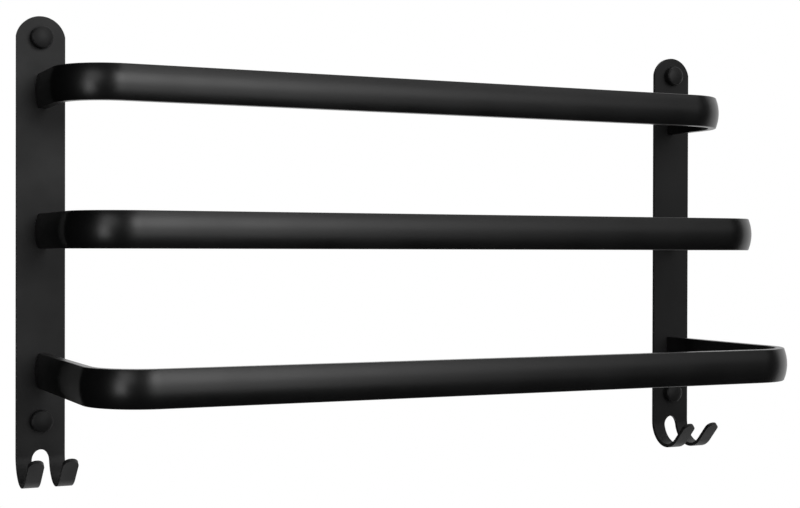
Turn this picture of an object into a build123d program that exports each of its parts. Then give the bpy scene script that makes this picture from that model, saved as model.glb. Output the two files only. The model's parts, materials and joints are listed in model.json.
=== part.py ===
from build123d import *
import math
import os

os.makedirs("parts", exist_ok=True)

# All sizes are in millimetres. X runs along the bars, Y points into the wall and Z is up.
# The origin is the centre of the four wall screws, on the plane of the wall.

# Wall plates: two upright straps of sheet whose lower ends are bent into two hooks each
plate_spacing = 565.0
plate_width = 36.0
plate_thickness = 3.0
plate_end_rise = 15.0

# Wall screws, two in each plate, under the four round caps
fixing_spacing = 284.5
fixing_to_end = 16.0
wall_screw_hole = 5.5

# Hooks: the strap is split by an arched notch, then both prongs are rolled forward and up
notch_width = 13.4
notch_arch_rise = 8.5
notch_below_fixing = 21.2
hook_bend_below_fixing = 25.0
hook_bend_radius = 21.4
hook_bend_angle = 136.5
hook_tip_length = 20.3
hook_tip_rounding = 0.47

# Towel bars: one hollow section with a crowned outer face, bent into three loops
bar_height = 26.0
bar_thickness = 9.0
bar_crown = 2.6
bar_corner = 1.0
bar_wall = 1.5
bar_inner_corner = 0.4
bend_outer_radius = 44.5
top_bar_below_fixing = 39.5
bottom_bar_above_fixing = 37.2
bar_depths = {"top": 95.5, "middle": 140.0, "bottom": 185.5}

# Inserts in the arms' ends, and the countersunk screws that draw the arms onto the plates
insert_length = 18.0
insert_clearance = 0.05
arm_screw_diameter = 5.0
arm_screw_head = 8.8
arm_screw_length = 16.0
arm_screw_socket = 3.0
arm_screw_socket_depth = 1.2
arm_screw_head_angle = 90.0
arm_screw_end_chamfer = 0.8
thread_clearance = 0.05
screw_clearance = 0.25
head_recess = 0.1

# Cap seats, pressed into the plates' holes, and the caps that snap over them
seat_diameter = 13.4
seat_thickness = 3.0
seat_barrel = 9.0
seat_clearance = 0.05
seat_countersink = 10.2
cap_diameter = 16.4
cap_side_height = 6.2
cap_seat_clearance = 0.3
cap_edge_radius = 1.6
cap_dome_height = 1.6
cap_ceiling = 1.2

# Places worked out from the sizes above
sides = {"left": -1, "right": 1}
plate_top = fixing_spacing / 2 + fixing_to_end
shoulder_level = plate_top - plate_end_rise
notch_top = -fixing_spacing / 2 - notch_below_fixing
bend_level = -fixing_spacing / 2 - hook_bend_below_fixing
bend_line_radius = hook_bend_radius - plate_thickness / 2
hook_room = 2 * hook_bend_radius + hook_tip_length
dome_radius = (cap_diameter**2 / 4 + cap_dome_height**2) / (2 * cap_dome_height)
dome_angle = math.degrees(math.asin(cap_diameter / 2 / dome_radius))
prong_width = (plate_width - notch_width) / 2
fixing_levels = {"top": fixing_spacing / 2, "bottom": -fixing_spacing / 2}
bar_fall = (fixing_spacing - top_bar_below_fixing - bottom_bar_above_fixing) / (len(bar_depths) - 1)
bar_levels = {}
for place, bar in enumerate(bar_depths):
    bar_levels[bar] = fixing_levels["top"] - top_bar_below_fixing - place * bar_fall


def section_face(inset, corner):
    # The bars' section: flat inner face, crowned outer face. An inset draws it smaller all round.
    half_height = bar_height / 2 - inset
    inner = -bar_thickness / 2 + inset
    outer = bar_thickness / 2 - inset
    with BuildSketch() as section:
        with BuildLine():
            Polyline(
                (outer - bar_crown, -half_height),
                (inner, -half_height),
                (inner, half_height),
                (outer - bar_crown, half_height),
            )
            ThreePointArc((outer - bar_crown, half_height), (outer, 0), (outer - bar_crown, -half_height))
        make_face()
        fillet(section.vertices(), corner)
    return section.sketch


def arm_plane(sign, level, depth):
    # A plane across an arm at a depth: its X points out of the loop and its Y points up.
    return Plane(origin=(sign * plate_spacing / 2, depth, level), x_dir=(sign, 0, 0), z_dir=(0, sign * -1, 0))


def write_part(piece, name):
    piece.part.label = name
    export_step(piece.part, f"parts/{name}.step")


# Wall plates with their hooks
for side, sign in sides.items():
    plate_centre = sign * plate_spacing / 2
    with BuildPart() as wall_plate:
        # The strap seen from its edge: straight down the wall, then rolled forward and up.
        with BuildSketch(Plane.YZ.offset(plate_centre)):
            with BuildLine():
                upright = Line((-plate_thickness / 2, plate_top), (-plate_thickness / 2, bend_level))
                roll = JernArc(upright @ 1, upright % 1, bend_line_radius, -hook_bend_angle)
                tip = PolarLine(roll @ 1, hook_tip_length, direction=roll % 1)
            trace(line_width=plate_thickness)
        extrude(amount=plate_width / 2, both=True)
        # The strap seen from the front: a rounded top end, and an arched notch between two prongs.
        with BuildSketch(Plane.XZ):
            with BuildLine():
                left_shoulder = (plate_centre - plate_width / 2, shoulder_level)
                right_shoulder = (plate_centre + plate_width / 2, shoulder_level)
                low_left = (plate_centre - plate_width / 2, bend_level - hook_room)
                low_right = (plate_centre + plate_width / 2, bend_level - hook_room)
                Polyline(left_shoulder, low_left, low_right, right_shoulder)
                ThreePointArc(left_shoulder, (plate_centre, plate_top), right_shoulder)
            make_face()
            with Locations((plate_centre, notch_top - notch_arch_rise)):
                Ellipse(notch_width / 2, notch_arch_rise, mode=Mode.SUBTRACT)
                Rectangle(notch_width, hook_room, align=(Align.CENTER, Align.MAX), mode=Mode.SUBTRACT)
        extrude(amount=hook_room, both=True, mode=Mode.INTERSECT)
        # The prongs' tips are rounded almost to half circles.
        tip_ends = wall_plate.faces().filter_by(Axis((0, 0, 0), (0, (tip % 1).X, (tip % 1).Y)))
        tip_corners = tip_ends.edges().filter_by(GeomType.LINE).filter_by(Axis.X, reverse=True)
        fillet(tip_corners, prong_width * hook_tip_rounding)
        # Holes for the seats of the wall screws.
        for level in fixing_levels.values():
            with Locations(Plane((plate_centre, 0, level), x_dir=(1, 0, 0), z_dir=(0, 1, 0))):
                Hole(seat_barrel / 2 + seat_clearance, depth=plate_thickness)
        # Countersunk holes for the arm screws, from the back.
        for level in bar_levels.values():
            with Locations(Plane((plate_centre, 0, level), x_dir=(1, 0, 0), z_dir=(0, 1, 0))):
                CounterSinkHole(
                    arm_screw_diameter / 2 + screw_clearance,
                    arm_screw_head / 2 + head_recess + screw_clearance / 2,
                    depth=plate_thickness,
                    counter_sink_angle=arm_screw_head_angle,
                )
    write_part(wall_plate, f"{side}_plate")

# Towel bars with the pieces that fasten their arms
for bar, level in bar_levels.items():
    arm_centre = plate_spacing / 2
    front = bar_depths[bar] - bar_thickness / 2
    with BuildPart() as towel_bar:
        with BuildLine(Plane.XY.offset(level)) as loop:
            FilletPolyline(
                (-arm_centre, -plate_thickness),
                (-arm_centre, -front),
                (arm_centre, -front),
                (arm_centre, -plate_thickness),
                radius=bend_outer_radius - bar_thickness / 2,
            )
        with BuildSketch(arm_plane(-1, level, -plate_thickness)):
            add(section_face(0, bar_corner))
            add(section_face(bar_wall, bar_inner_corner), mode=Mode.SUBTRACT)
        sweep(path=loop.wires()[0])
    write_part(towel_bar, f"{bar}_bar")

    for side, sign in sides.items():
        with BuildPart() as insert:
            with BuildSketch(Plane((sign * arm_centre, -plate_thickness, level), x_dir=(sign, 0, 0), z_dir=(0, -1, 0))):
                add(section_face(bar_wall + insert_clearance, bar_inner_corner))
                Circle(arm_screw_diameter / 2 + thread_clearance, mode=Mode.SUBTRACT)
            extrude(amount=insert_length)
        write_part(insert, f"{bar}_bar_{side}_insert")

        with BuildPart() as arm_screw:
            with BuildSketch(Plane.XY.offset(level)):
                with BuildLine():
                    shank = arm_screw_diameter / 2
                    head = arm_screw_head / 2
                    Polyline(
                        (sign * arm_centre, -head_recess),
                        (sign * arm_centre + head, -head_recess),
                        (sign * arm_centre + shank, -head_recess - (head - shank)),
                        (sign * arm_centre + shank, -arm_screw_length + arm_screw_end_chamfer),
                        (sign * arm_centre + shank - arm_screw_end_chamfer, -arm_screw_length),
                        (sign * arm_centre, -arm_screw_length),
                        close=True,
                    )
                make_face()
            revolve(axis=Axis((sign * arm_centre, 0, level), (0, 1, 0)))
            with BuildSketch(Plane((sign * arm_centre, 0, level), x_dir=(1, 0, 0), z_dir=(0, -1, 0))):
                RegularPolygon(arm_screw_socket / 2, 6, major_radius=False)
            extrude(amount=head_recess + arm_screw_socket_depth, mode=Mode.SUBTRACT)
        write_part(arm_screw, f"{bar}_bar_{side}_screw")

# Cap seats and caps over the wall screws
for height, level in fixing_levels.items():
    for side, sign in sides.items():
        plate_centre = sign * plate_spacing / 2
        screw_axis = Axis((plate_centre, 0, level), (0, 1, 0))
        with BuildPart() as cap_seat:
            with BuildSketch(Plane.XY.offset(level)):
                with BuildLine():
                    face_depth = -plate_thickness - seat_thickness
                    bore = wall_screw_hole / 2
                    mouth = seat_countersink / 2
                    Polyline(
                        (plate_centre + bore, 0),
                        (plate_centre + seat_barrel / 2, 0),
                        (plate_centre + seat_barrel / 2, -plate_thickness),
                        (plate_centre + seat_diameter / 2, -plate_thickness),
                        (plate_centre + seat_diameter / 2, face_depth),
                        (plate_centre + mouth, face_depth),
                        (plate_centre + bore, face_depth + mouth - bore),
                        close=True,
                    )
                make_face()
            revolve(axis=screw_axis)
        write_part(cap_seat, f"{height}_{side}_cap_seat")

        with BuildPart() as screw_cap:
            with BuildSketch(Plane.XY.offset(level)) as cap_profile:
                with BuildLine():
                    rim = cap_diameter / 2
                    mouth = seat_diameter / 2 + cap_seat_clearance
                    side_end = -plate_thickness - cap_side_height
                    dome = CenterArc(
                        (plate_centre, side_end - cap_dome_height + dome_radius),
                        dome_radius,
                        -90,
                        dome_angle,
                    )
                    Polyline(
                        dome @ 1,
                        (plate_centre + rim, -plate_thickness),
                        (plate_centre + mouth, -plate_thickness),
                        (plate_centre + mouth, side_end + cap_ceiling),
                        (plate_centre, side_end + cap_ceiling),
                        dome @ 0,
                    )
                make_face()
                rim_corner = cap_profile.vertices().sort_by(Axis.Y)[1:2]
                fillet(rim_corner, cap_edge_radius)
            revolve(axis=screw_axis)
        write_part(screw_cap, f"{height}_{side}_cap")
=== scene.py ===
import bpy
import bmesh
import json
import math
from mathutils import Matrix, Vector


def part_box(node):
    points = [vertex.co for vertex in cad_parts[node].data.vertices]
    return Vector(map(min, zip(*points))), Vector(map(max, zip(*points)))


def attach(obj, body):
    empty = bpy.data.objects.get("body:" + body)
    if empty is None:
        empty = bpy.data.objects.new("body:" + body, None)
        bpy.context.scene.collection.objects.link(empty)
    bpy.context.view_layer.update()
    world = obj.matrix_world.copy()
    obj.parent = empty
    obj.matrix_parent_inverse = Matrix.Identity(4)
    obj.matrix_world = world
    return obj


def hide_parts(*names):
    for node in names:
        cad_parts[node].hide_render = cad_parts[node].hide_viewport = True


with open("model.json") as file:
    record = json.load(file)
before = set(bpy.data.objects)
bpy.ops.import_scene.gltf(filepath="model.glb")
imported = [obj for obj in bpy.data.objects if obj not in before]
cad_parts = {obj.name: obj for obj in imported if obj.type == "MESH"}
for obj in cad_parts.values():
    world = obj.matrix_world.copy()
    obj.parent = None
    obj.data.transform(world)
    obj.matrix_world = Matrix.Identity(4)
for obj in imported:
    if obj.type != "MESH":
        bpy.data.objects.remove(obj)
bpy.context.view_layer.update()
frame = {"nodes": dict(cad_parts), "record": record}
sides = ("left", "right")
heights = ("top", "bottom")
bars = ("top", "middle", "bottom")
print("frame loaded:", len(frame["nodes"]), "nodes")


# Small helpers for node trees

def addNode(tree, kind, feeds=None, **options):
    # feeds: a value or another node's output for each input; options: the node's own settings
    made = tree.nodes.new(kind)
    for name, value in options.items():
        setattr(made, name, value)
    for name, value in (feeds or {}).items():
        if isinstance(value, bpy.types.NodeSocket):
            tree.links.new(value, made.inputs[name])
        else:
            made.inputs[name].default_value = value
    return made


def calc(tree, operation, *values):
    return addNode(tree, "ShaderNodeMath", dict(enumerate(values)), operation=operation).outputs[0]


def addSockets(tree, side, sockets):
    for name, kind in sockets.items():
        tree.interface.new_socket(name, in_out=side, socket_type="NodeSocket" + kind)


# Shader groups shared by the finishes

def coatGrainGroup():
    # The skin of a sprayed or moulded surface: low swells with fine grit on them
    tree = bpy.data.node_groups.new("coatGrain", "ShaderNodeTree")
    addSockets(tree, "INPUT", {"Swell Scale": "Float", "Grit Scale": "Float", "Grit Share": "Float"})
    addSockets(tree, "OUTPUT", {"Height": "Float"})
    given = addNode(tree, "NodeGroupInput").outputs
    place = addNode(tree, "ShaderNodeTexCoord").outputs["Object"]
    swell = addNode(tree, "ShaderNodeTexNoise", {
        "Vector": place,
        "Scale": given["Swell Scale"],
        "Detail": 2.0,
    })
    grit = addNode(tree, "ShaderNodeTexNoise", {
        "Vector": place,
        "Scale": given["Grit Scale"],
        "Detail": 1.0,
    })
    share = calc(tree, "MULTIPLY", grit.outputs["Fac"], given["Grit Share"])
    height = calc(tree, "ADD", swell.outputs["Fac"], share)
    addNode(tree, "NodeGroupOutput", {"Height": height})
    return tree


def driftGroup():
    # Slow cloudy changes over a surface, as from an uneven spray or from handling
    tree = bpy.data.node_groups.new("surfaceDrift", "ShaderNodeTree")
    addSockets(tree, "INPUT", {"Scale": "Float", "Low": "Float", "High": "Float"})
    addSockets(tree, "OUTPUT", {"Value": "Float"})
    given = addNode(tree, "NodeGroupInput").outputs
    place = addNode(tree, "ShaderNodeTexCoord").outputs["Object"]
    cloud = addNode(tree, "ShaderNodeTexNoise", {
        "Vector": place,
        "Scale": given["Scale"],
        "Detail": 4.0,
    })
    spread = addNode(tree, "ShaderNodeMapRange", {
        "Value": cloud.outputs["Fac"],
        "From Min": 0.3,
        "From Max": 0.7,
        "To Min": given["Low"],
        "To Max": given["High"],
    })
    addNode(tree, "NodeGroupOutput", {"Value": spread.outputs["Result"]})
    return tree


def edgeGroup():
    # A mask of the edges, from 0 on the flats to 1 on the edge; the coats use it for a painted
    # highlight along the edges and for a smoother coat where it runs thin over them
    tree = bpy.data.node_groups.new("thinEdgeAndHighlight", "ShaderNodeTree")
    addSockets(tree, "INPUT", {"Reach": "Float", "Softness": "Float"})
    addSockets(tree, "OUTPUT", {"Mask": "Float"})
    given = addNode(tree, "NodeGroupInput").outputs
    rounded = addNode(tree, "ShaderNodeBevel", {"Radius": given["Reach"]}, samples=4)
    facing = addNode(tree, "ShaderNodeNewGeometry").outputs["Normal"]
    match = addNode(tree, "ShaderNodeVectorMath", {
        0: rounded.outputs["Normal"],
        1: facing,
    }, operation="DOT_PRODUCT")
    turned = calc(tree, "SUBTRACT", 1.0, match.outputs["Value"])
    mask = addNode(tree, "ShaderNodeMapRange", {
        "Value": turned,
        "From Min": 0.02,
        "From Max": given["Softness"],
    })
    addNode(tree, "NodeGroupOutput", {"Mask": mask.outputs["Result"]})
    return tree


coatGrain = coatGrainGroup()
surfaceDrift = driftGroup()
thinEdgeAndHighlight = edgeGroup()


def addGroup(tree, group, **values):
    made = addNode(tree, "ShaderNodeGroup", node_tree=group)
    for name, value in values.items():
        made.inputs[name].default_value = value
    return made.outputs


def mixColour(tree, share, first, second):
    mixed = addNode(tree, "ShaderNodeMix", data_type="RGBA")
    for slot, value in ((0, share), (6, first), (7, second)):
        if isinstance(value, bpy.types.NodeSocket):
            tree.links.new(value, mixed.inputs[slot])
        else:
            mixed.inputs[slot].default_value = value
    return mixed.outputs[2]


def grey(level):
    return (level, level, level * 1.03, 1.0)


def addGrain(tree, shader, finish):
    grain = addGroup(tree, coatGrain, **{
        "Swell Scale": finish["swellScale"],
        "Grit Scale": finish["gritScale"],
        "Grit Share": finish["gritShare"],
    })
    bump = addNode(tree, "ShaderNodeBump", {
        "Strength": finish["bumpStrength"],
        "Distance": finish["bumpDepth"],
        "Height": grain["Height"],
    })
    tree.links.new(bump.outputs["Normal"], shader.inputs["Normal"])


def roughDrift(tree, finish):
    low, high = finish["roughLow"], finish["roughHigh"]
    return addGroup(tree, surfaceDrift, Scale=finish["driftScale"], Low=low, High=high)


def coatedMaterial(name, coat):
    # A black powder coat or a black moulding: the same layers with their own values
    made = bpy.data.materials.new(name)
    made.use_nodes = True
    tree = made.node_tree
    shader = tree.nodes["Principled BSDF"]
    drift = roughDrift(tree, coat)
    cloud = addGroup(tree, surfaceDrift, Scale=coat["cloudScale"], Low=0.0, High=1.0)
    edge = addGroup(tree, thinEdgeAndHighlight, Reach=coat["edgeReach"], Softness=coat["edgeSoftness"])
    body = mixColour(tree, cloud["Value"], grey(coat["dark"]), grey(coat["light"]))
    # Lighter colour along the edges: a painted highlight, where light would catch them
    rim = calc(tree, "MULTIPLY", edge["Mask"], coat["edgeHighlightShare"])
    colour = mixColour(tree, rim, body, grey(coat["edgeHighlightTone"]))
    tree.links.new(colour, shader.inputs["Base Color"])
    smoother = calc(tree, "MULTIPLY", edge["Mask"], coat["edgePolish"])
    rough = calc(tree, "SUBTRACT", drift["Value"], smoother)
    tree.links.new(rough, shader.inputs["Roughness"])
    addGrain(tree, shader, coat)
    shader.inputs["Specular IOR Level"].default_value = coat["specular"]
    return made


# Each coat below lightens the colour of its edges, as a painted highlight: a lighter grey, and how much
# of it shows
barCoat = {
    "dark": 0.0025,
    "light": 0.0045,
    "edgeHighlightTone": 0.02,
    "edgeHighlightShare": 0.5,
    "edgePolish": 0.03,
    "edgeReach": 0.0006,  # metres
    "edgeSoftness": 0.25,
    "swellScale": 700.0,
    "gritScale": 2600.0,
    "gritShare": 0.35,
    "driftScale": 30.0,
    "cloudScale": 18.0,
    "roughLow": 0.29,
    "roughHigh": 0.35,
    "bumpStrength": 0.25,
    "bumpDepth": 0.00002,
    "specular": 0.5,
}
plateCoat = {
    "dark": 0.006,
    "light": 0.0095,
    "edgeHighlightTone": 0.017,
    "edgeHighlightShare": 0.5,
    "edgePolish": 0.05,
    "edgeReach": 0.0005,
    "edgeSoftness": 0.25,
    "swellScale": 800.0,
    "gritScale": 2400.0,
    "gritShare": 0.6,
    "driftScale": 35.0,
    "cloudScale": 22.0,
    "roughLow": 0.47,
    "roughHigh": 0.55,
    "bumpStrength": 0.35,
    "bumpDepth": 0.00003,
    "specular": 0.36,
}
capMoulding = {
    "dark": 0.005,
    "light": 0.0075,
    "edgeHighlightTone": 0.009,
    "edgeHighlightShare": 0.4,
    "edgePolish": 0.02,
    "edgeReach": 0.0004,
    "edgeSoftness": 0.25,
    "swellScale": 1500.0,
    "gritScale": 4000.0,
    "gritShare": 0.8,
    "driftScale": 90.0,
    "cloudScale": 60.0,
    "roughLow": 0.48,
    "roughHigh": 0.56,
    "bumpStrength": 0.3,
    "bumpDepth": 0.000015,
    "specular": 0.34,
}
seatMoulding = dict(capMoulding, dark=0.012, light=0.016, roughLow=0.5, roughHigh=0.6)


def steelMaterial(name, steel):
    # Bright turned steel with a slightly cloudy sheen and fine grit
    made = bpy.data.materials.new(name)
    made.use_nodes = True
    tree = made.node_tree
    shader = tree.nodes["Principled BSDF"]
    shader.inputs["Metallic"].default_value = 1.0
    tree.links.new(roughDrift(tree, steel)["Value"], shader.inputs["Roughness"])
    cloud = addGroup(tree, surfaceDrift, Scale=steel["cloudScale"], Low=0.0, High=1.0)
    colour = mixColour(tree, cloud["Value"], steel["dark"], steel["light"])
    tree.links.new(colour, shader.inputs["Base Color"])
    addGrain(tree, shader, steel)
    return made


zincPlate = {
    "dark": (0.50, 0.51, 0.53, 1.0),
    "light": (0.66, 0.67, 0.69, 1.0),
    "driftScale": 260.0,
    "cloudScale": 200.0,
    "roughLow": 0.3,
    "roughHigh": 0.42,
    "swellScale": 1200.0,
    "gritScale": 5000.0,
    "gritShare": 0.6,
    "bumpStrength": 0.2,
    "bumpDepth": 0.00001,
}
machinedSteel = dict(zincPlate)
machinedSteel["dark"] = (0.44, 0.44, 0.45, 1.0)
machinedSteel["light"] = (0.56, 0.56, 0.57, 1.0)
machinedSteel["roughLow"] = 0.36

finishes = {
    "bar_coating": coatedMaterial("barCoat", barCoat),
    "plate_coating": coatedMaterial("plateCoat", plateCoat),
    "cap_plastic": coatedMaterial("capMoulding", capMoulding),
    "seat_plastic": coatedMaterial("seatMoulding", seatMoulding),
    "screw_steel": steelMaterial("zincPlate", zincPlate),
    "insert_metal": steelMaterial("machinedSteel", machinedSteel),
}
slotOf = {entry["node"]: entry["material_slot"] for entry in frame["record"]["subparts"]}
for name, part in frame["nodes"].items():
    part.data.materials.clear()
    part.data.materials.append(finishes[slotOf[name]])
print("finishes ready:", len(finishes))


# Helpers for the pieces

def either(tree, choice, first, second):
    # The first value where the choice is 0, and the second where it is 1
    chosen = addNode(tree, "ShaderNodeMapRange", {"Value": choice, "To Min": first, "To Max": second})
    return chosen.outputs[0]


def endTree(tree, geometry, finish):
    real = addNode(tree, "GeometryNodeRealizeInstances", {"Geometry": geometry})
    painted = addNode(tree, "GeometryNodeSetMaterial", {
        "Geometry": real.outputs[0],
        "Material": finish,
    })
    addNode(tree, "NodeGroupOutput", {"Geometry": painted.outputs[0]})


def growMesh(name, tree, values):
    # Runs a tree with its named inputs set, and keeps the result as a plain mesh
    piece = bpy.data.objects.new(name, bpy.data.meshes.new(name))
    bpy.context.scene.collection.objects.link(piece)
    grown = piece.modifiers.new("grown", "NODES")
    grown.node_group = tree
    for item in tree.interface.items_tree:
        if item.in_out == "INPUT" and item.name in values:
            grown[item.identifier] = values[item.name]
    piece.data = flatMesh(piece)
    piece.modifiers.clear()
    return piece


def flatMesh(piece):
    bpy.context.view_layer.update()
    seen = piece.evaluated_get(bpy.context.evaluated_depsgraph_get())
    made = bpy.data.meshes.new_from_object(seen)
    made.name = piece.name
    return made


def addWall(piece, thickness, offset):
    wall = piece.modifiers.new("wall", "SOLIDIFY")
    wall.thickness = thickness
    wall.offset = offset
    wall.use_even_offset = True


def roundEdges(piece, radius, steps, angle):
    rounded = piece.modifiers.new("rounded", "BEVEL")
    rounded.width = radius
    rounded.segments = steps
    rounded.limit_method = "ANGLE"
    rounded.angle_limit = angle
    rounded.harden_normals = True
    rounded.miter_outer = "MITER_ARC"


def finishPiece(piece, body, node):
    piece.data.shade_smooth()
    piece.data = flatMesh(piece)
    piece.modifiers.clear()
    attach(piece, body)
    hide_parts(node)


# Towel bars: one section swept along a loop

def barTree():
    tree = bpy.data.node_groups.new("towelBarLoop", "GeometryNodeTree")
    addSockets(tree, "INPUT", {
        "Arm Spacing": "Float",
        "Reach": "Float",
        "Level": "Float",
        "Plate Front": "Float",
        "Bend Radius": "Float",
        "Bend Steps": "Int",
        "Section Height": "Float",
        "Section Depth": "Float",
        "Crown": "Float",
        "Crown Steps": "Int",
        "Finish": "Material",
    })
    addSockets(tree, "OUTPUT", {"Geometry": "Geometry"})
    given = addNode(tree, "NodeGroupInput").outputs
    index = addNode(tree, "GeometryNodeInputIndex").outputs[0]

    # The loop's centre line: four corners, then the two bends
    halfSpan = calc(tree, "MULTIPLY", given["Arm Spacing"], 0.5)
    halfDepth = calc(tree, "MULTIPLY", given["Section Depth"], 0.5)
    front = calc(tree, "SUBTRACT", halfDepth, given["Reach"])
    root = calc(tree, "MULTIPLY", given["Plate Front"], -1.0)
    leftSide = calc(tree, "MULTIPLY", halfSpan, -1.0)
    onRight = calc(tree, "GREATER_THAN", index, 1.5)
    atFront = calc(tree, "COMPARE", index, 1.5, 0.6)
    corner = addNode(tree, "ShaderNodeCombineXYZ", {
        "X": either(tree, onRight, leftSide, halfSpan),
        "Y": either(tree, atFront, root, front),
        "Z": given["Level"],
    })
    line = addNode(tree, "GeometryNodeCurvePrimitiveLine")
    four = addNode(tree, "GeometryNodeResampleCurve", {"Curve": line.outputs[0], "Count": 4})
    corners = addNode(tree, "GeometryNodeSetPosition", {
        "Geometry": four.outputs[0],
        "Position": corner.outputs[0],
    })
    loop = addNode(tree, "GeometryNodeFilletCurve", {
        "Curve": corners.outputs[0],
        "Radius": given["Bend Radius"],
        "Count": given["Bend Steps"],
    }, mode="POLY")
    upright = addNode(tree, "GeometryNodeSetCurveNormal", {"Curve": loop.outputs[0]}, mode="Z_UP")

    # The section: a crowned outer face and a flat inner one
    last = calc(tree, "SUBTRACT", given["Crown Steps"], 1.0)
    along = calc(tree, "DIVIDE", index, last)
    rise = calc(tree, "MULTIPLY_ADD", along, 2.0, -1.0)
    onCrown = calc(tree, "LESS_THAN", along, 1.001)
    sag = calc(tree, "MULTIPLY", calc(tree, "MULTIPLY", rise, rise), given["Crown"])
    crownX = calc(tree, "SUBTRACT", halfDepth, sag)
    innerX = calc(tree, "MULTIPLY", halfDepth, -1.0)
    firstInner = calc(tree, "COMPARE", index, given["Crown Steps"], 0.5)
    innerRise = calc(tree, "MULTIPLY_ADD", firstInner, 2.0, -1.0)
    halfHeight = calc(tree, "MULTIPLY", given["Section Height"], 0.5)
    spot = addNode(tree, "ShaderNodeCombineXYZ", {
        "X": either(tree, onCrown, innerX, crownX),
        "Y": calc(tree, "MULTIPLY", either(tree, onCrown, innerRise, rise), halfHeight),
    })
    count = calc(tree, "ADD", given["Crown Steps"], 2.0)
    strip = addNode(tree, "GeometryNodeResampleCurve", {"Curve": line.outputs[0], "Count": count})
    ring = addNode(tree, "GeometryNodeSetPosition", {
        "Geometry": strip.outputs[0],
        "Position": spot.outputs[0],
    })
    closed = addNode(tree, "GeometryNodeSetSplineCyclic", {"Geometry": ring.outputs[0], "Cyclic": True})

    swept = addNode(tree, "GeometryNodeCurveToMesh", {
        "Curve": upright.outputs[0],
        "Profile Curve": closed.outputs[0],
    })
    endTree(tree, swept.outputs[0], given["Finish"])
    return tree


towelBar = {  # metres
    "thickness": 0.009,
    "crown": 0.0026,
    "edgeRadius": 0.001,
    "edgeSteps": 5,
    "edgeAngle": 0.5,
    "bendRadius": 0.0445,
    "bendSteps": 40,
    "crownSteps": 17,
    "wall": 0.0015,
}
loopTree = barTree()
for bar in bars:
    low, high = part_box(bar + "_bar")
    piece = growMesh(bar + "BarLoop", loopTree, {
        "Arm Spacing": high.x - low.x - towelBar["thickness"],
        "Reach": -low.y,
        "Level": (low.z + high.z) / 2,
        "Plate Front": -high.y,
        "Bend Radius": towelBar["bendRadius"] - towelBar["thickness"] / 2,
        "Bend Steps": towelBar["bendSteps"],
        "Section Height": high.z - low.z,
        "Section Depth": towelBar["thickness"],
        "Crown": towelBar["crown"],
        "Crown Steps": towelBar["crownSteps"],
        "Finish": finishes["bar_coating"],
    })
    addWall(piece, towelBar["wall"], -1.0)
    roundEdges(piece, towelBar["edgeRadius"], towelBar["edgeSteps"], towelBar["edgeAngle"])
    finishPiece(piece, "rack", bar + "_bar")
    print("made", piece.name, [round(c, 4) for c in piece.dimensions])


# Wall plates: a flat blank is cut out, its prongs are rolled, and it gets its thickness

wallPlate = {  # metres and radians
    "thickness": 0.003,
    "endRise": 0.015,
    "notchWidth": 0.0134,
    "notchArchRise": 0.0085,
    "notchBelowFixing": 0.0212,
    "bendBelowFixing": 0.025,
    "rollRadius": 0.0199,
    "rollAngle": math.radians(136.5),
    "tipLength": 0.0203,
    "tipRounding": 0.47,
    "seatHole": 0.00455,
    "screwHole": 0.00275,
    "screwSink": 0.004625,
    "sinkDepth": 0.001875,
    "edgeRadius": 0.0004,
    "edgeSteps": 3,
    "edgeAngle": 0.6,
    "rollSteps": 40,
    "endSteps": 30,
    "archSteps": 24,
    "tipSteps": 10,
    "seatHoleSteps": 40,
    "screwHoleSteps": 32,
}
cutGap = 1e-6  # metres; points nearer to each other, or to a cut, count as one
ringGap = 1e-4  # metres; how near a point lies to a hole's rim to count as part of it


def arcPoints(centre, radius, start, end, steps, rise=None):
    # Points on an arc in the blank; angles run from the +X side towards the top.
    # A rise other than the radius makes it taller or flatter.
    points = []
    for step in range(steps + 1):
        angle = start + (end - start) * step / steps
        across = radius * math.cos(angle)
        up = (rise or radius) * math.sin(angle)
        points.append((centre[0] + across, centre[1] + up))
    return points


def circlePoints(level, radius, steps):
    return arcPoints((0, level), radius, 0, 2 * math.pi, steps)[:-1]


def blankOutline(plate, width, top, tipEnd, notchTop):
    # The blank's edge, in metres across from its middle and up from the origin
    half = width / 2
    inner = plate["notchWidth"] / 2
    corner = (half - inner) * plate["tipRounding"]
    endRadius = (plate["endRise"] ** 2 + half ** 2) / (2 * plate["endRise"])
    spread = math.acos(half / endRadius)
    quarter = math.pi / 2
    level = tipEnd + corner
    steps = plate["tipSteps"]
    rise = plate["notchArchRise"]
    outline = arcPoints((0, top - endRadius), endRadius, spread, math.pi - spread, plate["endSteps"])
    outline += arcPoints((-half + corner, level), corner, math.pi, math.pi + quarter, steps)
    outline += arcPoints((-inner - corner, level), corner, -quarter, 0, steps)
    outline += arcPoints((0, notchTop - rise), inner, math.pi, 0, plate["archSteps"], rise)
    outline += arcPoints((inner + corner, level), corner, math.pi, math.pi + quarter, steps)
    outline += arcPoints((half - corner, level), corner, -quarter, 0, steps)
    return outline


def rolledPlace(plate, bendLevel, height):
    # Where a height on the blank ends up once the prongs are rolled: (y, z) of the sheet's middle
    middle = -plate["thickness"] / 2
    run = bendLevel - height
    if run <= 0:
        return middle, height
    radius = plate["rollRadius"]
    angle = min(run / radius, plate["rollAngle"])
    y = middle - radius * (1 - math.cos(angle))
    z = bendLevel - radius * math.sin(angle)
    rest = run - radius * plate["rollAngle"]
    if rest > 0:
        y -= rest * math.sin(angle)
        z -= rest * math.cos(angle)
    return y, z


def addRing(mesh, points):
    verts = [mesh.verts.new((x, 0, z)) for x, z in points]
    for first, second in zip(verts, verts[1:] + verts[:1]):
        mesh.edges.new((first, second))


def cutAcross(sheet, place, direction):
    # Adds points and edges where a plane passes through the mesh, which stays whole
    whole = sheet.verts[:] + sheet.edges[:] + sheet.faces[:]
    bmesh.ops.bisect_plane(sheet, geom=whole, plane_co=place, plane_no=direction, dist=cutGap)


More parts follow.
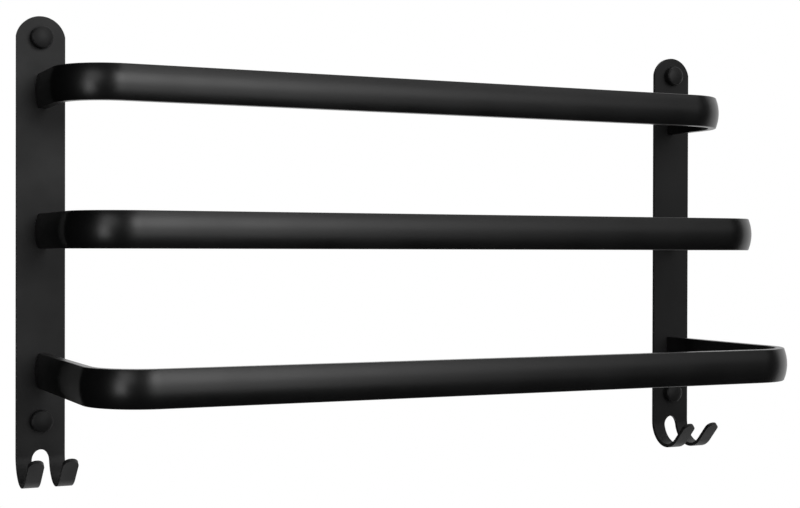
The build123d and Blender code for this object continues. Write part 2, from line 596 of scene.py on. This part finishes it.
def cutRings(mesh, depth):
    # Gives the walls of all holes a ring of points at a depth, where the countersinks end
    cut = bmesh.new()
    cut.from_mesh(mesh)
    cutAcross(cut, (0, -depth, 0), (0, 1, 0))
    cut.to_mesh(mesh)
    cut.free()


def widenBackRim(mesh, axis, hole, sink):
    # Countersinks a hole: its rim on the wall's side moves out to the sink's radius
    for vert in mesh.vertices:
        across = Vector((vert.co.x - axis[0], vert.co.z - axis[1]))
        if vert.co.y > -ringGap and abs(across.length - hole) < ringGap:
            across *= sink / across.length
            vert.co.x = axis[0] + across.x
            vert.co.z = axis[1] + across.y


def middleLevel(node):
    low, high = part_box(node)
    return (low.z + high.z) / 2


for side in sides:
    low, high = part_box(side + "_plate")
    centre = (low.x + high.x) / 2
    capLevels = [middleLevel(f"{height}_{side}_cap") for height in heights]
    barLevels = [middleLevel(bar + "_bar") for bar in bars]
    lowFixing = min(capLevels)
    bendLevel = lowFixing - wallPlate["bendBelowFixing"]
    rollLength = wallPlate["rollRadius"] * wallPlate["rollAngle"]
    tipEnd = bendLevel - rollLength - wallPlate["tipLength"]
    notchTop = lowFixing - wallPlate["notchBelowFixing"]
    blank = bmesh.new()
    addRing(blank, blankOutline(wallPlate, high.x - low.x, high.z, tipEnd, notchTop))
    for level in capLevels:
        addRing(blank, circlePoints(level, wallPlate["seatHole"], wallPlate["seatHoleSteps"]))
    for level in barLevels:
        addRing(blank, circlePoints(level, wallPlate["screwHole"], wallPlate["screwHoleSteps"]))
    bmesh.ops.triangle_fill(blank, edges=blank.edges[:], use_beauty=True, normal=(0, -1, 0))
    for step in range(wallPlate["rollSteps"] + 1):
        cutAcross(blank, (0, 0, bendLevel - rollLength * step / wallPlate["rollSteps"]), (0, 0, 1))
    for vert in blank.verts:
        y, z = rolledPlace(wallPlate, bendLevel, vert.co.z)
        vert.co = (centre + vert.co.x, y, z)
    mesh = bpy.data.meshes.new(side + "WallPlate")
    blank.to_mesh(mesh)
    blank.free()
    mesh.materials.append(finishes["plate_coating"])
    piece = bpy.data.objects.new(side + "WallPlate", mesh)
    bpy.context.scene.collection.objects.link(piece)
    addWall(piece, wallPlate["thickness"], 0.0)
    piece.data = flatMesh(piece)
    piece.modifiers.clear()
    cutRings(piece.data, wallPlate["sinkDepth"])
    for level in barLevels:
        widenBackRim(piece.data, (centre, level), wallPlate["screwHole"], wallPlate["screwSink"])
    roundEdges(piece, wallPlate["edgeRadius"], wallPlate["edgeSteps"], wallPlate["edgeAngle"])
    finishPiece(piece, "rack", side + "_plate")
    print("made", piece.name, [round(c, 4) for c in piece.dimensions])


# Round caps: one profile turned about the screw's axis

def capTree():
    tree = bpy.data.node_groups.new("turnedCap", "GeometryNodeTree")
    addSockets(tree, "INPUT", {
        "Centre": "Vector",
        "Rim Radius": "Float",
        "Side Height": "Float",
        "Dome Height": "Float",
        "Bore Radius": "Float",
        "Bore Depth": "Float",
        "Dome Steps": "Int",
        "Turn Steps": "Int",
        "Finish": "Material",
    })
    addSockets(tree, "OUTPUT", {"Geometry": "Geometry"})
    given = addNode(tree, "NodeGroupInput").outputs

    # The profile's rows: dome from the middle out, the rim's foot, the bore's mouth, the ceiling
    rows = calc(tree, "ADD", given["Dome Steps"], 5.0)
    columns = calc(tree, "ADD", given["Turn Steps"], 1.0)
    sheet = addNode(tree, "GeometryNodeMeshGrid", {"Vertices X": rows, "Vertices Y": columns})
    index = addNode(tree, "GeometryNodeInputIndex").outputs[0]
    row = calc(tree, "FLOOR", calc(tree, "DIVIDE", calc(tree, "ADD", index, 0.5), columns))
    column = calc(tree, "SUBTRACT", index, calc(tree, "MULTIPLY", row, columns))
    share = calc(tree, "MINIMUM", calc(tree, "DIVIDE", row, given["Dome Steps"]), 1.0)
    pastDome = calc(tree, "MAXIMUM", calc(tree, "SUBTRACT", row, given["Dome Steps"]), 0.0)
    foot = calc(tree, "COMPARE", pastDome, 1.5, 0.6)
    inside = calc(tree, "GREATER_THAN", pastDome, 1.5)
    middle = calc(tree, "GREATER_THAN", pastDome, 3.5)
    sag = calc(tree, "MULTIPLY", calc(tree, "MULTIPLY", share, share), given["Dome Height"])
    top = calc(tree, "SUBTRACT", calc(tree, "ADD", given["Side Height"], given["Dome Height"]), sag)
    onDome = calc(tree, "LESS_THAN", pastDome, 0.5)
    domeHeight = calc(tree, "MULTIPLY", top, onDome)
    ceiling = calc(tree, "MULTIPLY", given["Bore Depth"], calc(tree, "GREATER_THAN", pastDome, 2.5))
    raised = calc(tree, "SUBTRACT", 1.0, foot)
    height = calc(tree, "MULTIPLY", calc(tree, "ADD", domeHeight, ceiling), raised)
    outside = calc(tree, "MULTIPLY", share, calc(tree, "SUBTRACT", 1.0, inside))
    outer = calc(tree, "MULTIPLY", given["Rim Radius"], outside)
    bore = calc(tree, "MULTIPLY", given["Bore Radius"], calc(tree, "SUBTRACT", inside, middle))
    radius = calc(tree, "ADD", outer, bore)
    turn = calc(tree, "MULTIPLY", calc(tree, "DIVIDE", column, given["Turn Steps"]), 2 * math.pi)
    place = addNode(tree, "ShaderNodeCombineXYZ", {
        "X": calc(tree, "MULTIPLY", radius, calc(tree, "COSINE", turn)),
        "Y": calc(tree, "MULTIPLY", height, -1.0),
        "Z": calc(tree, "MULTIPLY", radius, calc(tree, "SINE", turn)),
    })
    moved = addNode(tree, "ShaderNodeVectorMath", {
        0: place.outputs[0],
        1: given["Centre"],
    }, operation="ADD")
    turned = addNode(tree, "GeometryNodeSetPosition", {
        "Geometry": sheet.outputs[0],
        "Position": moved.outputs[0],
    })
    welded = addNode(tree, "GeometryNodeMergeByDistance", {
        "Geometry": turned.outputs[0],
        "Distance": cutGap,
    })
    endTree(tree, welded.outputs[0], given["Finish"])
    return tree


def weighEdges(mesh, kinkLevel, share, sharp):
    # Sharp edges get a bevel weight: all of it at the kink between side and dome, a share elsewhere
    turned = bmesh.new()
    turned.from_mesh(mesh)
    bmesh.ops.recalc_face_normals(turned, faces=turned.faces)
    weight = turned.edges.layers.float.new("bevel_weight_edge")
    for edge in turned.edges:
        if edge.calc_face_angle(0.0) > sharp:
            atKink = all(abs(vert.co.y - kinkLevel) < ringGap / 10 for vert in edge.verts)
            edge[weight] = 1.0 if atKink else share
    turned.to_mesh(mesh)
    turned.free()


screwCap = {  # metres
    "sideHeight": 0.0062,
    "domeHeight": 0.0016,
    "boreRadius": 0.007,
    "boreDepth": 0.005,
    "edgeRadius": 0.0016,
    "edgeAngle": 0.6,
    "footShare": 0.1,
    "domeSteps": 10,
    "turnSteps": 96,
    "edgeSteps": 5,
}
turnedCap = capTree()
for height in heights:
    for side in sides:
        low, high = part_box(f"{height}_{side}_cap")
        piece = growMesh(f"{height}{side.title()}RoundCap", turnedCap, {
            "Centre": ((low.x + high.x) / 2, high.y, (low.z + high.z) / 2),
            "Rim Radius": (high.x - low.x) / 2,
            "Side Height": screwCap["sideHeight"],
            "Dome Height": screwCap["domeHeight"],
            "Bore Radius": screwCap["boreRadius"],
            "Bore Depth": screwCap["boreDepth"],
            "Dome Steps": screwCap["domeSteps"],
            "Turn Steps": screwCap["turnSteps"],
            "Finish": finishes["cap_plastic"],
        })
        kinkLevel = high.y - screwCap["sideHeight"]
        weighEdges(piece.data, kinkLevel, screwCap["footShare"], screwCap["edgeAngle"])
        roundEdges(piece, screwCap["edgeRadius"], screwCap["edgeSteps"], screwCap["edgeAngle"])
        piece.modifiers["rounded"].limit_method = "WEIGHT"
        finishPiece(piece, f"{height}_{side}_cap", f"{height}_{side}_cap")
        print("made", piece.name, [round(c, 4) for c in piece.dimensions])


# Studio: floor, lights and camera

def studioWorld(studio):
    # White wherever the camera, a reflection or glass looks, and a plain fill for everything else
    world = bpy.data.worlds.new("studio")
    bpy.context.scene.world = world
    world.use_nodes = True
    tree = world.node_tree
    tree.nodes.clear()
    seen = addNode(tree, "ShaderNodeLightPath").outputs
    direct = calc(tree, "MAXIMUM", seen["Is Camera Ray"], seen["Is Glossy Ray"])
    looking = calc(tree, "MAXIMUM", direct, seen["Is Transmission Ray"])
    fill = addNode(tree, "ShaderNodeBackground", {"Color": (1, 1, 1, 1), "Strength": studio["fill"]})
    white = addNode(tree, "ShaderNodeBackground", {"Color": (1, 1, 1, 1), "Strength": 1.0})
    mixed = addNode(tree, "ShaderNodeMixShader", {0: looking, 1: fill.outputs[0], 2: white.outputs[0]})
    addNode(tree, "ShaderNodeOutputWorld", {"Surface": mixed.outputs[0]})


def aimed(place, target):
    turn = (Vector(target) - Vector(place)).to_track_quat("-Z", "Y")
    return Matrix.Translation(place) @ turn.to_matrix().to_4x4()


def around(studio, azimuth, elevation, distance):
    # A place round the rack; azimuth 0 is straight in front of it and grows to the right
    flat = distance * math.cos(math.radians(elevation))
    x = flat * math.sin(math.radians(azimuth))
    y = -flat * math.cos(math.radians(azimuth))
    z = distance * math.sin(math.radians(elevation))
    return Vector(studio["middle"]) + Vector((x, y, z))


def softbox(studio, name, box):
    lamp = bpy.data.lights.new(name, "AREA")
    lamp.shape = "RECTANGLE"
    lamp.size = box["width"]
    lamp.size_y = box["height"]
    lamp.energy = box["glow"] * math.pi * box["width"] * box["height"]
    made = bpy.data.objects.new(name, lamp)
    place = around(studio, box["azimuth"], box["elevation"], studio["boxDistance"])
    made.matrix_world = aimed(place, studio["middle"])
    bpy.context.scene.collection.objects.link(made)


def screenRound(studio, name, screen):
    # An upright screen round a part of the studio, which only reflections see
    cloth = bmesh.new()
    rows = []
    width = screen["to"] - screen["from"]
    for step in range(screen["steps"] + 1):
        foot = around(studio, screen["from"] + width * step / screen["steps"], 0, screen["radius"])
        levels = (foot.z + screen["low"], foot.z + screen["high"])
        rows.append([cloth.verts.new((foot.x, foot.y, level)) for level in levels])
    for first, second in zip(rows, rows[1:]):
        cloth.faces.new((first[0], second[0], second[1], first[1]))
    mesh = bpy.data.meshes.new(name)
    cloth.to_mesh(mesh)
    cloth.free()
    made = bpy.data.objects.new(name, mesh)
    cover = bpy.data.materials.new(name)
    cover.use_nodes = True
    shader = cover.node_tree.nodes["Principled BSDF"]
    shader.inputs["Base Color"].default_value = screenColour
    shader.inputs["Roughness"].default_value = 1.0
    shader.inputs["Specular IOR Level"].default_value = 0.0
    shader.inputs["Emission Color"].default_value = (1, 1, 1, 1)
    shader.inputs["Emission Strength"].default_value = screen["glow"]
    mesh.materials.append(cover)
    bpy.context.scene.collection.objects.link(made)
    made.visible_camera = False
    made.visible_diffuse = False
    made.visible_transmission = False
    made.visible_shadow = False


def paleFloor(studio):
    # A pale round floor under the rack, which takes its shadow and fades out towards its rim
    floor = studio["floor"]
    disc = bmesh.new()
    bmesh.ops.create_circle(disc, cap_ends=True, segments=floor["steps"], radius=floor["radius"])
    mesh = bpy.data.meshes.new("paleFloor")
    disc.to_mesh(mesh)
    disc.free()
    for vert in mesh.vertices:
        vert.co += Vector(floor["centre"])
    cover = bpy.data.materials.new("paleFloor")
    cover.use_nodes = True
    tree = cover.node_tree
    shader = tree.nodes["Principled BSDF"]
    shader.inputs["Base Color"].default_value = floor["colour"]
    shader.inputs["Roughness"].default_value = 0.8
    shader.inputs["Specular IOR Level"].default_value = 0.2
    place = addNode(tree, "ShaderNodeTexCoord").outputs["Object"]
    offset = addNode(tree, "ShaderNodeVectorMath", {0: place, 1: floor["centre"]}, operation="DISTANCE")
    solid = addNode(tree, "ShaderNodeMapRange", {
        "Value": offset.outputs["Value"],
        "From Min": floor["radius"] * floor["solidShare"],
        "From Max": floor["radius"],
        "To Min": 1.0,
        "To Max": 0.0,
    }, interpolation_type="SMOOTHSTEP")
    tree.links.new(solid.outputs["Result"], shader.inputs["Alpha"])
    seen = addNode(tree, "ShaderNodeLightPath").outputs["Is Camera Ray"]
    shader.inputs["Emission Color"].default_value = (1, 1, 1, 1)
    tree.links.new(calc(tree, "MULTIPLY", seen, floor["paleness"]), shader.inputs["Emission Strength"])
    mesh.materials.append(cover)
    made = bpy.data.objects.new("paleFloor", mesh)
    bpy.context.scene.collection.objects.link(made)
    made.visible_glossy = False


def newCamera(camera):
    turn = Matrix.Rotation(-camera["heading"], 3, "Z")
    turn = turn @ Matrix.Rotation(math.pi / 2 - camera["pitch"], 3, "X")
    turn = turn @ Matrix.Rotation(-camera["roll"], 3, "Z")
    lens = bpy.data.cameras.new("viewCamera")
    lens.lens = camera["lens"]
    lens.sensor_width = camera["sensor"]
    lens.shift_x = camera["shiftX"]
    lens.shift_y = camera["shiftY"]
    made = bpy.data.objects.new("viewCamera", lens)
    made.matrix_world = Matrix.Translation(camera["place"]) @ turn.to_4x4()
    bpy.context.scene.collection.objects.link(made)
    bpy.context.scene.camera = made


viewCamera = {  # metres and radians; heading 0 looks at the wall squarely
    "place": (-0.51935, -1.1311, -0.0149),
    "heading": 0.4378,
    "pitch": 0.0062,
    "roll": -0.0024,
    "lens": 67.997,
    "sensor": 36.0,
    "shiftX": 0.0050,
    "shiftY": 0.0072,
}
studio = {
    "middle": (0.0, -0.09, 0.0),
    "boxDistance": 2.7,
    "fill": 0.15,
    "floor": {
        "radius": 1.25,
        "centre": (0.0, -0.1, -0.45),
        "steps": 96,
        "solidShare": 0.55,
        "colour": (0.9, 0.9, 0.9, 1),
        "paleness": 0.42,  # light that only the camera sees
    },
}
screenColour = (0.01, 0.01, 0.01, 1)
darkScreen = {  # azimuths in degrees, the rest in metres
    "from": -165,
    "to": 80,
    "radius": 3.4,
    "low": -30.0,
    "high": 6.0,
    "steps": 40,
    "glow": 0.0,
}
screens = {  # a dark cloth round the front and left, and a grey card behind the left
    "darkScreen": darkScreen,
    "greyScreen": dict(darkScreen, **{"from": -180, "to": -165, "steps": 4, "glow": 0.4}),
}
boxes = {  # azimuth and elevation in degrees, width and height in metres
    "mainSoftbox": {"azimuth": 13, "elevation": 18, "width": 0.68, "height": 1.08, "glow": 2.8},
    "mainUpperBox": {"azimuth": 13, "elevation": 42, "width": 0.68, "height": 1.08, "glow": 1.66},
    "mainLowerBox": {"azimuth": 13, "elevation": -4, "width": 0.68, "height": 1.08, "glow": 1.28},
    "frontSoftbox": {"azimuth": -1, "elevation": 18, "width": 0.68, "height": 1.08, "glow": 4.77},
    "frontLowerBox": {"azimuth": -1, "elevation": -4, "width": 0.68, "height": 1.08, "glow": 1.8},
    "middleSoftbox": {"azimuth": 27, "elevation": 18, "width": 0.68, "height": 1.08, "glow": 1.04},
    "middleLowerBox": {"azimuth": 27, "elevation": -4, "width": 0.68, "height": 1.08, "glow": 0.36},
    "wideSoftbox": {"azimuth": 43, "elevation": 18, "width": 0.95, "height": 1.08, "glow": 0.36},
    "wideUpperBox": {"azimuth": 43, "elevation": 42, "width": 0.95, "height": 1.08, "glow": 0.94},
    "sideSoftbox": {"azimuth": -57, "elevation": 18, "width": 0.68, "height": 1.08, "glow": 1.78},
    "sideLowerBox": {"azimuth": -57, "elevation": -4, "width": 0.68, "height": 1.08, "glow": 3.26},
    "sideInnerBox": {"azimuth": -43, "elevation": 18, "width": 0.68, "height": 1.08, "glow": 1.24},
}
bpy.context.scene.view_settings.view_transform = "Standard"
studioWorld(studio)
for name, screen in screens.items():
    screenRound(studio, name, screen)
paleFloor(studio)
for name, box in boxes.items():
    softbox(studio, name, box)
newCamera(viewCamera)
print("studio ready:", len(boxes), "softboxes")
